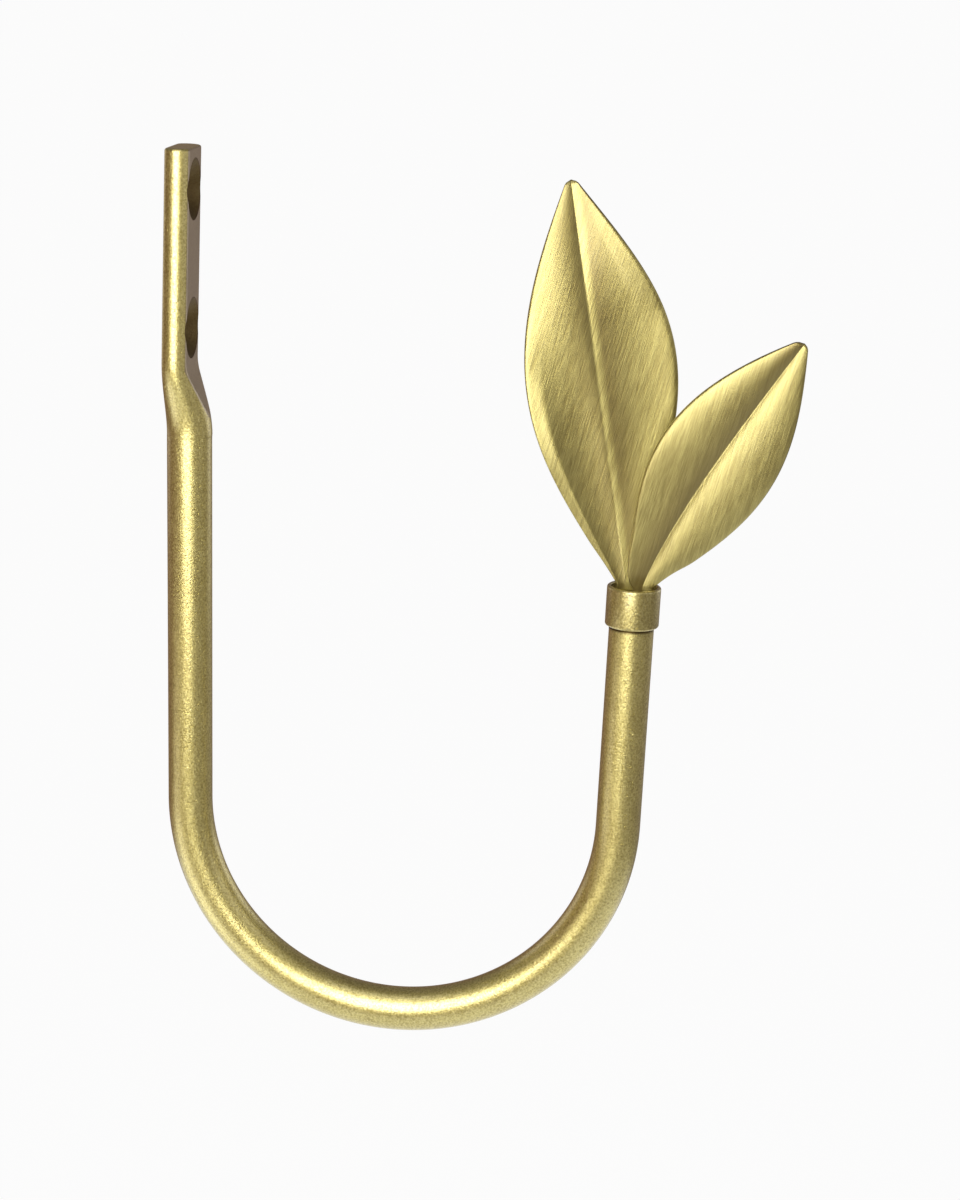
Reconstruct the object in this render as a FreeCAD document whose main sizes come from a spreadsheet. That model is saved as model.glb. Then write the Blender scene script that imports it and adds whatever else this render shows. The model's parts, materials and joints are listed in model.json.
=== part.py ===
"""Curtain holdback: a round rod bent to a U, forged flat for two wall screws, with a collar and two leaves.

Frame in millimetres: X = 0 is the wall face of the flattened end, Y = 0 is the plane of the hook and
Z = 0 lies midway between the two screw holes. The hook opens upwards and its front arm stands out along +X.
"""
import FreeCAD, Part
import math
import os
from dataclasses import dataclass

import Sketcher

SIZES = {
    # the bent rod
    "rod_diameter": 8.0,
    "hook_height": 158.75,
    "bend_radius": 38.9,
    "back_arm_lean": 1.1,
    "set_radius": 80.0,
    "arm_spread": 1.7,
    "front_arm_length": 36.9,
    # the forged flat end and its screw holes
    "wall_gap": 0.2,
    "pad_thickness": 4.4,
    "pad_flat_width": 10.2,
    "pad_side_bulge": 1.2,
    "pad_edge_round": 0.5,
    "screw_spacing": 24.0,
    "screw_to_top": 7.2,
    "screw_to_shoulder": 5.4,
    "shoulder_radius": 8.0,
    "ramp_angle": 22.5,
    "neck_length": 13.5,
    "screw_hole_diameter": 5.8,
    "countersink_diameter": 10.7,
    "countersink_angle": 90.0,
    # the collar on the front arm
    "socket_clearance": 0.05,
    "collar_wall": 0.7,
    "socket_depth": 4.6,
    "collar_web": 1.4,
    "cup_depth": 1.2,
    "collar_top_bevel": 0.25,
    "collar_foot_bevel": 0.5,
    # both leaves
    "leaf_thickness": 1.0,
    "stem_width": 3.8,
    "stem_inset": 0.6,
    "stem_gap": 0.2,
    # the large leaf at the back, measured from its stem at the collar's rim along its midrib
    "large_length": 71.0,
    "large_lean": -11.6,
    "large_tilt": 0.5,
    "large_left_width": 12.9,
    "large_left_height": 35.6,
    "large_left_fullness": 0.68,
    "large_right_width": 14.0,
    "large_right_height": 38.5,
    "large_right_fullness": 0.5,
    "large_lobe_rise": 1.1,
    "large_margin_drop": 0.6,
    "large_tip_round": 1.2,
    # the small leaf in front
    "small_length": 51.8,
    "small_lean": 28.4,
    "small_tilt": 5.0,
    "small_left_width": 11.8,
    "small_left_height": 24.5,
    "small_left_fullness": 0.85,
    "small_right_width": 8.9,
    "small_right_height": 26.5,
    "small_right_fullness": 0.75,
    "small_lobe_rise": 1.0,
    "small_margin_drop": 0.5,
    "small_tip_round": 1.0,
}

# Places that several sizes decide, as expressions on the sheet
ROD_AXIS_X = "(Sizes.wall_gap + Sizes.rod_diameter / 2)"
ROD_FRONT_X = "(Sizes.wall_gap + Sizes.rod_diameter)"
TOP_Z = "(Sizes.screw_spacing / 2 + Sizes.screw_to_top)"
SHOULDER_DEPTH = "(Sizes.screw_spacing / 2 + Sizes.screw_to_shoulder)"
NECK_DEPTH = f"({SHOULDER_DEPTH} + Sizes.neck_length)"
BEND_DEPTH = f"(Sizes.hook_height - {TOP_Z} - Sizes.bend_radius - Sizes.rod_diameter / 2)"
PAD_HALF_WIDTH = "(Sizes.pad_flat_width / 2 + Sizes.pad_side_bulge)"
FLAT_SHARE = f"(Sizes.pad_flat_width / 2 / {PAD_HALF_WIDTH})"
BLANK_HALF_DEPTH = f"(Sizes.pad_thickness / 2 / sqrt(1 - {FLAT_SHARE}^2))"
SIN_BACK = "sin(Sizes.back_arm_lean * 1deg)"
COS_BACK = "cos(Sizes.back_arm_lean * 1deg)"
BACK_ARM_DROP = f"({BEND_DEPTH} - {NECK_DEPTH} + (Sizes.bend_radius - Sizes.set_radius) * {SIN_BACK})"
BEND_CENTRE_X = (f"({ROD_AXIS_X} + Sizes.set_radius * (1 - {COS_BACK})"
                 f" + {BACK_ARM_DROP} * {SIN_BACK} / {COS_BACK} + Sizes.bend_radius * {COS_BACK})")
FRONT_LEAN = "(Sizes.arm_spread - Sizes.back_arm_lean)"
SIN_FRONT = f"sin({FRONT_LEAN} * 1deg)"
COS_FRONT = f"cos({FRONT_LEAN} * 1deg)"
COLLAR_FOOT_X = (f"({BEND_CENTRE_X} + Sizes.bend_radius * {COS_FRONT}"
                 f" + Sizes.front_arm_length * {SIN_FRONT})")
COLLAR_FOOT_Z = (f"(-{BEND_DEPTH} - Sizes.bend_radius * {SIN_FRONT}"
                 f" + Sizes.front_arm_length * {COS_FRONT})")
COLLAR_LENGTH = "(Sizes.socket_depth + Sizes.collar_web + Sizes.cup_depth)"
BORE_RADIUS = "(Sizes.rod_diameter / 2 + Sizes.socket_clearance)"
COLLAR_RADIUS = f"({BORE_RADIUS} + Sizes.collar_wall)"
# The stems stand side by side in the cup, each set in from its wall
STEM_OFFSET = f"({BORE_RADIUS} - Sizes.stem_inset - Sizes.stem_width / 2)"

NECK_STATIONS = (0.0, 0.25, 0.5, 0.75, 1.0)
OVERCUT = 5.0
LEAF_KEYS = (
    "length", "lean", "tilt", "left_width", "left_height", "left_fullness", "right_width", "right_height",
    "right_fullness", "lobe_rise", "margin_drop", "tip_round",
)


@dataclass(frozen=True)
class Leaf:
    """A leaf's name in the sheet and the side of the cup that it stands on."""

    name: str
    side: int


LEAVES = (Leaf("large", -1), Leaf("small", 1))

document = FreeCAD.newDocument("curtain_holdback")
sheet = document.addObject("Spreadsheet::Sheet", "Sizes")


def fill_sheet():
    """Write each driving dimension into its own named cell."""
    for row, (alias, size) in enumerate(SIZES.items(), start=1):
        sheet.set(f"A{row}", alias)
        sheet.set(f"B{row}", str(size))
        sheet.setAlias(f"B{row}", alias)
    document.recompute()


def value(expression):
    """Return the number that an expression on the sheet gives."""
    result = sheet.evalExpression(expression)
    return float(getattr(result, "Value", result))


def new_body(label):
    """Add an empty body whose label names its file."""
    body = document.addObject("PartDesign::Body", label)
    body.Label = label
    return body


def new_sketch(body, name, role):
    """Add a sketch on one of the body's own origin planes."""
    sketch = body.newObject("Sketcher::SketchObject", name)
    plane = next(item for item in body.Origin.OriginFeatures if item.Role == role)
    sketch.AttachmentSupport = [(plane, "")]
    sketch.MapMode = "FlatFace"
    return sketch


def relate(sketch, *rule):
    """Add a constraint that has no size."""
    sketch.addConstraint(Sketcher.Constraint(*rule))


def measure(sketch, size, *rule):
    """Add a constraint whose size is tied to an expression."""
    index = sketch.addConstraint(Sketcher.Constraint(*rule, value(size)))
    sketch.setExpression(f"Constraints[{index}]", size)


def slope(sketch, size, line):
    """Tie a line's angle from the sketch's horizontal to an expression in degrees."""
    index = sketch.addConstraint(Sketcher.Constraint("Angle", line, math.radians(value(size))))
    sketch.setExpression(f"Constraints[{index}]", f"{size} * 1deg")


def segment(start, end):
    """Return a straight line between two points of a sketch."""
    return Part.LineSegment(FreeCAD.Vector(*start, 0), FreeCAD.Vector(*end, 0))


def arc(centre, radius, start_degrees, end_degrees):
    """Return an anticlockwise arc of a sketch."""
    circle = Part.Circle(FreeCAD.Vector(*centre, 0), FreeCAD.Vector(0, 0, 1), radius)
    return Part.ArcOfCircle(circle, math.radians(start_degrees), math.radians(end_degrees))


def arc_through(start, middle, end):
    """Return the arc of a sketch that passes through three points."""
    return Part.Arc(FreeCAD.Vector(*start, 0), FreeCAD.Vector(*middle, 0), FreeCAD.Vector(*end, 0))


def close_chain(sketch, count):
    """Join the ends of the first edges of a sketch into a ring."""
    for edge in range(count):
        relate(sketch, "Coincident", edge, 2, (edge + 1) % count, 1)


def draw_rod_path(body):
    """Draw the rod's centre line: a slight set off the wall, the back arm, the bend and the front arm."""
    neck_end = (value(ROD_AXIS_X), -value(NECK_DEPTH))
    centre = (value(BEND_CENTRE_X), -value(BEND_DEPTH))
    set_radius, back = value("Sizes.set_radius"), value("Sizes.back_arm_lean")
    front = value(FRONT_LEAN)
    length = "(Sizes.front_arm_length + Sizes.socket_depth)"
    sketch = new_sketch(body, "rod_path", "XZ_Plane")
    set_arc = arc((neck_end[0] + set_radius, neck_end[1]), set_radius, 180, 180 + back)
    bend_arc = arc(centre, value("Sizes.bend_radius"), 180 + back, 360 - front)
    upper, lower, foot = set_arc.EndPoint, bend_arc.StartPoint, bend_arc.EndPoint
    run, tilt = value(length), math.radians(front)
    tip = (foot.x + run * math.sin(tilt), foot.y + run * math.cos(tilt))
    sketch.addGeometry(set_arc)
    sketch.addGeometry(segment((upper.x, upper.y), (lower.x, lower.y)))
    sketch.addGeometry(bend_arc)
    sketch.addGeometry(segment((foot.x, foot.y), tip))
    for edge in range(3):
        relate(sketch, "Tangent", edge, 2, edge + 1, 1)
    relate(sketch, "Horizontal", 0, 1, 0, 3)
    measure(sketch, ROD_AXIS_X, "DistanceX", -1, 1, 0, 1)
    measure(sketch, NECK_DEPTH, "DistanceY", 0, 1, -1, 1)
    measure(sketch, "Sizes.set_radius", "Radius", 0)
    slope(sketch, "(Sizes.back_arm_lean - 90)", 1)
    measure(sketch, BEND_DEPTH, "DistanceY", 2, 3, -1, 1)
    measure(sketch, "Sizes.bend_radius", "Radius", 2)
    slope(sketch, f"(90 - {FRONT_LEAN})", 3)
    measure(sketch, length, "Distance", 3)
    return sketch


def draw_neck_section(body, station):
    """Draw the rod's section on its way from round to the wide oval blank of the flat end.

    The sketch is turned a quarter so that its own x runs along Y, where every section starts. The blend
    from round to oval starts and ends smoothly.
    """
    blend = station * station * (3 - 2 * station)
    centre_x = f"({ROD_AXIS_X} * {1 - blend} + Sizes.pad_thickness / 2 * {blend})"
    half_depth = f"(Sizes.rod_diameter / 2 * {1 - blend} + {BLANK_HALF_DEPTH} * {blend})"
    half_width = f"(Sizes.rod_diameter / 2 * {1 - blend} + {PAD_HALF_WIDTH} * {blend})"
    height = f"-{NECK_DEPTH} + Sizes.neck_length * {station}"
    sketch = new_sketch(body, f"neck_section_{round(100 * station)}", "XY_Plane")
    quarter_turn = FreeCAD.Rotation(FreeCAD.Vector(0, 0, 1), 90)
    sketch.AttachmentOffset = FreeCAD.Placement(FreeCAD.Vector(0, 0, value(height)), quarter_turn)
    sketch.setExpression("AttachmentOffset.Base.z", height)
    centre = FreeCAD.Vector(0, -value(centre_x), 0)
    if station == 0.0:
        sketch.addGeometry(Part.Circle(centre, FreeCAD.Vector(0, 0, 1), value("Sizes.rod_diameter / 2")))
        measure(sketch, "Sizes.rod_diameter", "Diameter", 0)
    else:
        sketch.addGeometry(Part.Ellipse(centre, value(half_width), value(half_depth)))
        sketch.exposeInternalGeometry(0)
        relate(sketch, "Horizontal", 1)
        measure(sketch, f"2 * {half_width}", "Distance", 1)
        measure(sketch, f"2 * {half_depth}", "Distance", 2)
    relate(sketch, "PointOnObject", 0, 3, -2)
    measure(sketch, centre_x, "DistanceY", 0, 3, -1, 1)
    return sketch


def draw_frame(sketch, left, right, below, above):
    """Add a rectangle that reaches the given distances from the sketch's origin, all of them positive."""
    first = sketch.GeometryCount
    corners = (
        (-value(left), -value(below)), (value(right), -value(below)),
        (value(right), value(above)), (-value(left), value(above)),
    )
    for index, corner in enumerate(corners):
        sketch.addGeometry(segment(corner, corners[(index + 1) % 4]))
    for index, rule in enumerate(("Horizontal", "Vertical", "Horizontal", "Vertical")):
        relate(sketch, "Coincident", first + index, 2, first + (index + 1) % 4, 1)
        relate(sketch, rule, first + index)
    measure(sketch, left, "DistanceX", first, 1, -1, 1)
    measure(sketch, below, "DistanceY", first, 1, -1, 1)
    measure(sketch, right, "DistanceX", -1, 1, first + 2, 1)
    measure(sketch, above, "DistanceY", -1, 1, first + 2, 1)


def draw_wall_cut(body):
    """Draw the block behind the wall plane that is cut away from the blank."""
    sketch = new_sketch(body, "wall_cut", "XZ_Plane")
    draw_frame(sketch, f"({PAD_HALF_WIDTH} + {OVERCUT})", "0", f"({NECK_DEPTH} + {OVERCUT})",
               f"({TOP_Z} + {OVERCUT})")
    return sketch


def draw_die_cut(body):
    """Draw what the die presses away in front of the pad: flat face, rounded shoulder and ramp."""
    face, top, shoulder = value("Sizes.pad_thickness"), value(TOP_Z) + OVERCUT, -value(SHOULDER_DEPTH)
    radius, ramp = value("Sizes.shoulder_radius"), value("Sizes.ramp_angle")
    front = value(ROD_FRONT_X) + OVERCUT
    sketch = new_sketch(body, "die_cut", "XZ_Plane")
    shoulder_arc = arc((face + radius, shoulder), radius, 180, 180 + ramp)
    ramp_top = (shoulder_arc.EndPoint.x, shoulder_arc.EndPoint.y)
    ramp_end = (front, ramp_top[1] - (front - ramp_top[0]) / math.tan(math.radians(ramp)))
    sketch.addGeometry(segment((face, top), (face, shoulder)))
    sketch.addGeometry(shoulder_arc)
    sketch.addGeometry(segment(ramp_top, ramp_end))
    sketch.addGeometry(segment(ramp_end, (front, top)))
    sketch.addGeometry(segment((front, top), (face, top)))
    relate(sketch, "Tangent", 0, 2, 1, 1)
    relate(sketch, "Tangent", 1, 2, 2, 1)
    for line in (2, 3, 4):
        relate(sketch, "Coincident", line, 2, (line + 1) % 5, 1)
    relate(sketch, "Vertical", 0)
    relate(sketch, "Vertical", 3)
    relate(sketch, "Horizontal", 4)
    measure(sketch, "Sizes.pad_thickness", "DistanceX", -1, 1, 0, 1)
    measure(sketch, f"{TOP_Z} + {OVERCUT}", "DistanceY", -1, 1, 0, 1)
    measure(sketch, SHOULDER_DEPTH, "DistanceY", 0, 2, -1, 1)
    measure(sketch, "Sizes.shoulder_radius", "Radius", 1)
    slope(sketch, "(Sizes.ramp_angle - 90)", 2)
    measure(sketch, f"{ROD_FRONT_X} + {OVERCUT}", "DistanceX", -1, 1, 2, 2)
    return sketch


def cut_across(body, sketch, length):
    """Cut a profile of the body's front plane right through it, to both sides alike."""
    before = body.Shape.Volume
    pocket = body.newObject("PartDesign::Pocket", f"{sketch.Name}_pocket")
    pocket.Profile = sketch
    pocket.SideType = "Symmetric"
    pocket.setExpression("Length", length)
    document.recompute()
    if body.Shape.Volume >= before:
        raise RuntimeError(f"{pocket.Name} cut nothing")
    return pocket


def drill_screw_holes(body):
    """Drill and countersink the two screw holes from the pad's flat front face."""
    sketch = new_sketch(body, "screw_centres", "YZ_Plane")
    sketch.AttachmentOffset = FreeCAD.Placement(
        FreeCAD.Vector(0, 0, value("Sizes.pad_thickness")), FreeCAD.Rotation())
    sketch.setExpression("AttachmentOffset.Base.z", "Sizes.pad_thickness")
    half_spacing = value("Sizes.screw_spacing / 2")
    radius = value("Sizes.screw_hole_diameter / 2")
    for index, side in enumerate((1, -1)):
        centre = FreeCAD.Vector(0, side * half_spacing, 0)
        sketch.addGeometry(Part.Circle(centre, FreeCAD.Vector(0, 0, 1), radius))
        measure(sketch, "Sizes.screw_hole_diameter", "Diameter", index)
        relate(sketch, "PointOnObject", index, 3, -2)
    measure(sketch, "Sizes.screw_spacing / 2", "DistanceY", -1, 1, 0, 3)
    measure(sketch, "Sizes.screw_spacing / 2", "DistanceY", 1, 3, -1, 1)
    document.recompute()
    before = body.Shape.Volume
    hole = body.newObject("PartDesign::Hole", "screw_holes")
    hole.Profile = sketch
    hole.ThreadType = "None"
    hole.DepthType = "ThroughAll"
    hole.HoleCutType = "Countersink"
    hole.HoleCutCustomValues = True
    hole.setExpression("Diameter", "Sizes.screw_hole_diameter")
    hole.setExpression("HoleCutDiameter", "Sizes.countersink_diameter")
    hole.setExpression("HoleCutCountersinkAngle", "Sizes.countersink_angle")
    document.recompute()
    if body.Shape.Volume >= before:
        raise RuntimeError("the screw holes cut nothing")


def round_pad_end(body, feature):
    """Round the edges of the pad's upper end."""
    top = value(TOP_Z)
    edges = [
        f"Edge{number}" for number, edge in enumerate(feature.Shape.Edges, start=1)
        if abs(edge.BoundBox.ZMin - top) < 1e-4
    ]
    fillet = body.newObject("PartDesign::Fillet", "pad_end_round")
    fillet.Base = (feature, edges)
    fillet.setExpression("Radius", "Sizes.pad_edge_round")
    document.recompute()


def make_hook_rod():
    """Bend the rod to its U, forge its wall end flat and drill it for two screws."""
    body = new_body("hook_rod")
    sections = [draw_neck_section(body, station) for station in NECK_STATIONS]
    path = draw_rod_path(body)
    document.recompute()
    pipe = body.newObject("PartDesign::AdditivePipe", "bent_bar")
    pipe.Profile = sections[0]
    pipe.Spine = (path, ["Edge1", "Edge2", "Edge3", "Edge4"])
    document.recompute()
    neck = body.newObject("PartDesign::AdditiveLoft", "widening_neck")
    neck.Profile = sections[0]
    neck.Sections = sections[1:]
    document.recompute()
    blank = body.newObject("PartDesign::Pad", "pad_blank")
    blank.Profile = sections[-1]
    blank.setExpression("Length", f"{TOP_Z} + {SHOULDER_DEPTH}")
    document.recompute()
    cut_across(body, draw_wall_cut(body), f"4 * {PAD_HALF_WIDTH}")
    pressed = cut_across(body, draw_die_cut(body), f"4 * {PAD_HALF_WIDTH}")
    round_pad_end(body, pressed)
    drill_screw_holes(body)
    return body


def draw_collar_profile(body):
    """Draw the collar's half section: socket below, web across, cup above, bevelled outer rims."""
    bore, outer = value(BORE_RADIUS), value(COLLAR_RADIUS)
    socket, floor = value("Sizes.socket_depth"), value("Sizes.socket_depth + Sizes.collar_web")
    rim = value(COLLAR_LENGTH)
    foot_bevel, top_bevel = value("Sizes.collar_foot_bevel"), value("Sizes.collar_top_bevel")
    corners = (
        (bore, 0),
        (outer - foot_bevel, 0),
        (outer, foot_bevel),
        (outer, rim - top_bevel),
        (outer - top_bevel, rim),
        (bore, rim),
        (bore, floor),
        (0, floor),
        (0, socket),
        (bore, socket),
    )
    sketch = new_sketch(body, "collar_profile", "XZ_Plane")
    for index, corner in enumerate(corners):
        sketch.addGeometry(segment(corner, corners[(index + 1) % len(corners)]))
    close_chain(sketch, len(corners))
    for line in (0, 4, 6, 8):
        relate(sketch, "Horizontal", line)
    for line in (2, 5, 7, 9):
        relate(sketch, "Vertical", line)
    relate(sketch, "PointOnObject", 0, 1, -1)
    relate(sketch, "PointOnObject", 7, 1, -2)
    measure(sketch, BORE_RADIUS, "DistanceX", -1, 1, 0, 1)
    measure(sketch, BORE_RADIUS, "DistanceX", -1, 1, 5, 1)
    measure(sketch, COLLAR_RADIUS, "DistanceX", -1, 1, 2, 1)
    measure(sketch, "Sizes.collar_foot_bevel", "DistanceX", 1, 1, 1, 2)
    measure(sketch, "Sizes.collar_foot_bevel", "DistanceY", 1, 1, 1, 2)
    measure(sketch, "Sizes.collar_top_bevel", "DistanceX", 3, 2, 3, 1)
    measure(sketch, "Sizes.collar_top_bevel", "DistanceY", 3, 1, 3, 2)
    measure(sketch, "Sizes.socket_depth", "DistanceY", -1, 1, 7, 2)
    measure(sketch, "Sizes.collar_web", "DistanceY", 7, 2, 7, 1)
    measure(sketch, "Sizes.cup_depth", "DistanceY", 5, 2, 5, 1)
    return sketch


def stand_on_arm(body, rise, across="0", turn="0"):
    """Place a body on the front arm: above the collar's foot, across from the arm's axis and turned."""
    angle = f"({FRONT_LEAN} + {turn})"
    body.Placement = FreeCAD.Placement(
        FreeCAD.Vector(), FreeCAD.Rotation(FreeCAD.Vector(0, 1, 0), value(angle)))
    body.setExpression("Placement.Base.x", f"{COLLAR_FOOT_X} + {rise} * {SIN_FRONT} + {across} * {COS_FRONT}")
    body.setExpression("Placement.Base.z", f"{COLLAR_FOOT_Z} + {rise} * {COS_FRONT} - {across} * {SIN_FRONT}")
    body.setExpression("Placement.Rotation.Angle", f"{angle} * 1deg")


def make_collar():
    """Turn the collar that joins the rod and the leaf stems."""
    body = new_body("collar")
    sketch = draw_collar_profile(body)
    document.recompute()
    turned = body.newObject("PartDesign::Revolution", "turned_collar")
    turned.Profile = sketch
    turned.ReferenceAxis = (sketch, ["V_Axis"])
    turned.Angle = 360
    stand_on_arm(body, "0")
    document.recompute()
    return body


def arch_radius(reach, rise, drop):
    """Return the radius of an arc from the crease that rises by rise over the chord to (reach, drop)."""
    return f"((({reach}^2 + {drop}^2) / 4 + {rise}^2) / (2 * {rise}))"


def draw_leaf_section(body, leaf, size):
    """Draw the pressed sheet's section: two arched halves that meet in a crease at the origin.

    The front looks along -y. Each half reaches past the widest place of its side, and every arc runs
    anticlockwise: front left, front right, right end, back right, back left, left end.
    """
    thickness = value("Sizes.leaf_thickness")
    rise, drop = size["lobe_rise"], size["margin_drop"]
    sketch = new_sketch(body, f"{leaf.name}_section", "XY_Plane")
    reaches = [f"({size[key]} + Sizes.leaf_thickness)" for key in ("left_width", "right_width")]

    def behind(point):
        return point[0], point[1] + thickness

    ends = []
    for side, reach in zip((-1, 1), reaches):
        across, back, height = value(reach), value(drop), value(rise)
        chord = math.hypot(across, back)
        middle = (side * (across / 2 + height * back / chord), back / 2 - height * across / chord)
        ends.append((middle, (side * across, back)))
    (left_middle, left_end), (right_middle, right_end) = ends
    crease = (0, 0)
    sketch.addGeometry(arc_through(left_end, left_middle, crease))
    sketch.addGeometry(arc_through(crease, right_middle, right_end))
    sketch.addGeometry(segment(right_end, behind(right_end)))
    sketch.addGeometry(arc_through(behind(crease), behind(right_middle), behind(right_end)))
    sketch.addGeometry(arc_through(behind(left_end), behind(left_middle), behind(crease)))
    sketch.addGeometry(segment(behind(left_end), left_end))
    for joint in ((0, 2, 1, 1), (1, 2, 2, 1), (2, 2, 3, 2), (3, 1, 4, 2), (4, 1, 5, 1), (5, 2, 0, 1)):
        relate(sketch, "Coincident", *joint)
    relate(sketch, "Coincident", 0, 2, -1, 1)
    relate(sketch, "PointOnObject", 3, 1, -2)
    measure(sketch, "Sizes.leaf_thickness", "DistanceY", -1, 1, 3, 1)
    measure(sketch, reaches[0], "DistanceX", 0, 1, -1, 1)
    measure(sketch, reaches[1], "DistanceX", -1, 1, 1, 2)
    for front, back, end, vertex, reach in ((0, 4, 5, 1, reaches[0]), (1, 3, 2, 2, reaches[1])):
        measure(sketch, drop, "DistanceY", -1, 1, front, vertex)
        measure(sketch, arch_radius(reach, rise, drop), "Radius", front)
        relate(sketch, "Equal", front, back)
        relate(sketch, "Vertical", end)
        measure(sketch, "Sizes.leaf_thickness", "DistanceY", front, vertex, back, vertex)
    return sketch


def side_radius(size, side):
    """Return the radius of a side of the outline: its fullness times the room that stem and tip leave."""
    name = "right" if side > 0 else "left"
    width, height, fullness = (size[f"{name}_{key}"] for key in ("width", "height", "fullness"))
    stem_x = f"(Sizes.stem_width / 2 * cos({size['lean']} * 1deg))"
    stem_z = f"({side} * Sizes.stem_width / 2 * sin({size['lean']} * 1deg))"
    spread = f"({width} - {stem_x})"
    from_stem = f"((({height} - {stem_z})^2 + {spread}^2) / (2 * {spread}))"
    from_tip = f"((({size['length']} - {height})^2 + {width}^2) / (2 * {width}))"
    return f"({fullness} * min({from_stem}; {from_tip}))"


def touching_line(first, first_radius, second, second_radius, side):
    """Return the ends of the line that touches two circles from outside, with both on its inner side."""
    along = (second[0] - first[0], second[1] - first[1])
    span = math.hypot(*along)
    heading = math.atan2(along[1], along[0])
    turn = math.acos((first_radius - second_radius) / span)
    normal = heading - side * turn
    reach = (math.cos(normal), math.sin(normal))
    return (
        (first[0] + first_radius * reach[0], first[1] + first_radius * reach[1]),
        (second[0] + second_radius * reach[0], second[1] + second_radius * reach[1]),
    )


def degrees_on(circle, point):
    """Return the angle of a point seen from a circle's centre."""
    return math.degrees(math.atan2(point[1] - circle[1], point[0] - circle[0]))


def draw_leaf_outline(body, leaf, size):
    """Draw the leaf's outline: a stem square to the cup's floor, flared sides and a rounded tip.

    Edges in order: floor, right stem, right flare, right side, right tip, tip round, left tip, left side,
    left flare, left stem. The sketch's y runs along the midrib and its origin is the stem at the rim.
    """
    lean = math.radians(value(size["lean"]))
    half_stem, depth = value("Sizes.stem_width / 2"), value("Sizes.cup_depth")
    tip_radius = value(size["tip_round"])
    tip_centre = (0, value(size["length"]) - tip_radius)
    sketch = new_sketch(body, f"{leaf.name}_outline", "XZ_Plane")
    radii = {side: side_radius(size, side) for side in (-1, 1)}
    sides = {}
    for side, name in ((1, "right"), (-1, "left")):
        rim = (side * half_stem * math.cos(lean), side * half_stem * math.sin(lean))
        floor = (rim[0] + depth * math.sin(lean), rim[1] - depth * math.cos(lean))
        radius = value(radii[side])
        centre = (side * (value(size[f"{name}_width"]) - radius), value(size[f"{name}_height"]))
        flare = touching_line(rim, 0, centre, radius, side)
        upper = touching_line(centre, radius, tip_centre, tip_radius, side)
        sides[side] = (floor, rim, centre, radius, flare[1], upper[0], upper[1])
    right_floor, right_rim, right_centre, right_radius, right_low, right_high, right_tip = sides[1]
    left_floor, left_rim, left_centre, left_radius, left_low, left_high, left_tip = sides[-1]
    sketch.addGeometry(segment(left_floor, right_floor))
    sketch.addGeometry(segment(right_floor, right_rim))
    sketch.addGeometry(segment(right_rim, right_low))
    sketch.addGeometry(arc(right_centre, right_radius, degrees_on(right_centre, right_low),
                           degrees_on(right_centre, right_high)))
    sketch.addGeometry(segment(right_high, right_tip))
    sketch.addGeometry(arc(tip_centre, tip_radius, degrees_on(tip_centre, right_tip),
                           degrees_on(tip_centre, left_tip)))
    sketch.addGeometry(segment(left_tip, left_high))
    sketch.addGeometry(arc(left_centre, left_radius, degrees_on(left_centre, left_high),
                           degrees_on(left_centre, left_low) % 360))
    sketch.addGeometry(segment(left_low, left_rim))
    sketch.addGeometry(segment(left_rim, left_floor))
    for edge in (0, 1, 8, 9):
        relate(sketch, "Coincident", edge, 2, (edge + 1) % 10, 1)
    for edge in range(2, 8):
        relate(sketch, "Tangent", edge, 2, edge + 1, 1)
    relate(sketch, "Perpendicular", 0, 1)
    relate(sketch, "Perpendicular", 0, 9)
    relate(sketch, "Equal", 1, 9)
    relate(sketch, "Symmetric", 1, 2, 8, 2, -1, 1)
    measure(sketch, "Sizes.stem_width", "Distance", 0)
    measure(sketch, "Sizes.cup_depth", "Distance", 1)
    slope(sketch, size["lean"], 0)
    relate(sketch, "PointOnObject", 5, 3, -2)
    measure(sketch, size["tip_round"], "Radius", 5)
    measure(sketch, f"({size['length']} - {size['tip_round']})", "DistanceY", -1, 1, 5, 3)
    for edge, side, name in ((3, 1, "right"), (7, -1, "left")):
        measure(sketch, radii[side], "Radius", edge)
        measure(sketch, size[f"{name}_height"], "DistanceY", -1, 1, edge, 3)
        inset = f"({radii[side]} - {size[f'{name}_width']})"
        ends = (edge, 3, -1, 1) if side > 0 else (-1, 1, edge, 3)
        measure(sketch, inset, "DistanceX", *ends)
    draw_frame(
        sketch,
        f"({size['left_width']} + {2 * OVERCUT})",
        f"({size['right_width']} + {2 * OVERCUT})",
        f"(Sizes.cup_depth + {3 * OVERCUT})",
        f"({size['length']} + {2 * OVERCUT})",
    )
    return sketch


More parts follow.
